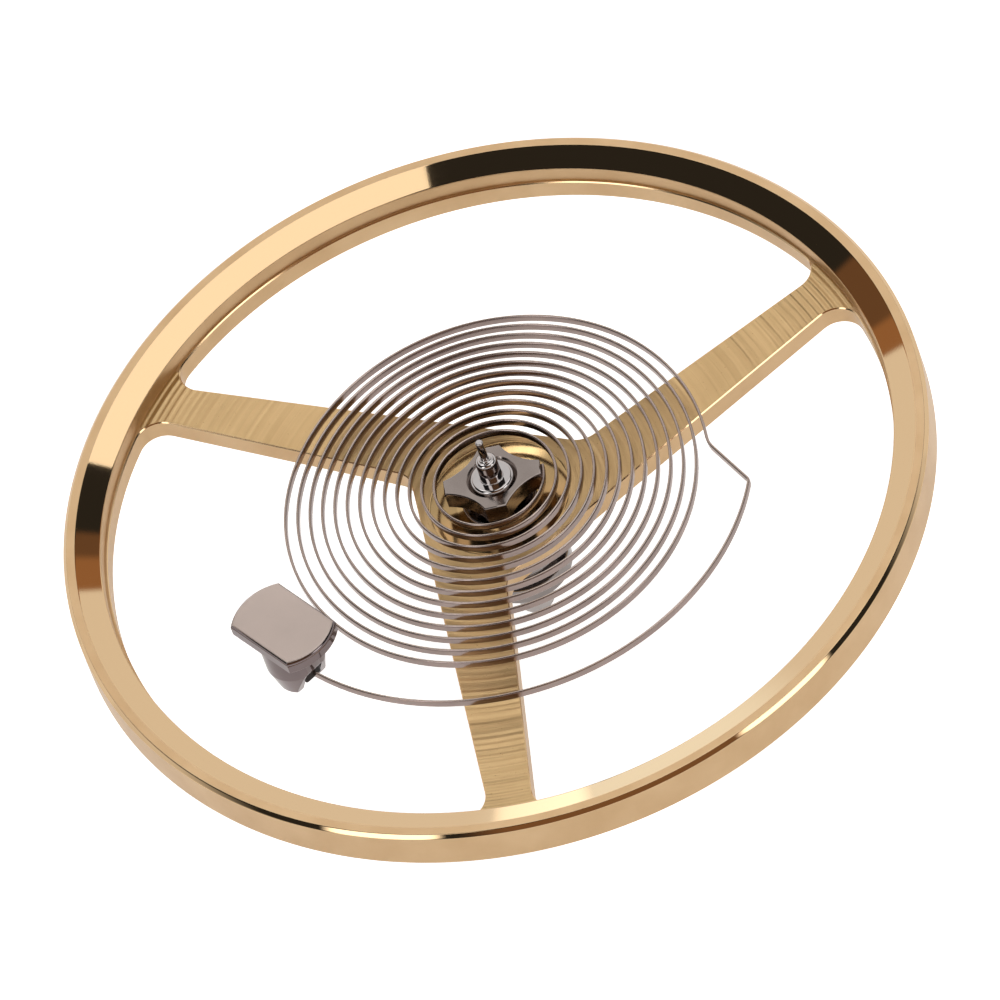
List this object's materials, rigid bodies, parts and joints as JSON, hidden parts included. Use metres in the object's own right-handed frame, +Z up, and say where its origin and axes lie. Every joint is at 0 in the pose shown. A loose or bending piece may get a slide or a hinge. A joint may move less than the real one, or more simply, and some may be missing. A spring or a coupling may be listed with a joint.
{
  "type": "watch balance wheel assembly",
  "caption": "Watch balance: gilt pinwheel-armed wheel on a pivoted staff, with roller and impulse jewel below and a flat hairspring above that ends in a forked stud.",
  "frame": {"origin": "tip of the lower pivot, on the staff's axis", "axes": "+Z up the staff from the lower pivot to the upper pivot; +X towards the collet lobe on which the hairspring is welded"},
  "size_m": [0.01, 0.01, 0.0031],
  "materials": {
    "gilt_wheel": "gilt, turned satin with a polished bevel",
    "polished_steel": "burnished",
    "collet_steel": "polished",
    "spring_alloy": "rolled, bright",
    "stud_steel": "satin top, polished edge",
    "cement": "dark, set",
    "roller_steel": "polished",
    "ruby": "polished",
    "shellac": "clear amber"
  },
  "bodies": {
    "stud_side": {"stud": "stud_steel", "stud_cement": "cement", "hairspring": "spring_alloy"},
    "balance": {"balance_wheel": "gilt_wheel", "balance_staff": "polished_steel", "collet": "collet_steel", "double_roller": "roller_steel", "impulse_jewel": "ruby", "jewel_shellac": "shellac"}
  },
  "joints": [
    {"name": "balance_swing", "type": "hinge", "parent": "stud_side", "child": "balance", "pos_m": [0, 0, 0.00155], "axis": [0, 0, 1], "range_deg": [-300, 300], "stiffness_Nm_per_rad": 0.00000042, "deforming": ["hairspring"]}
  ]
}
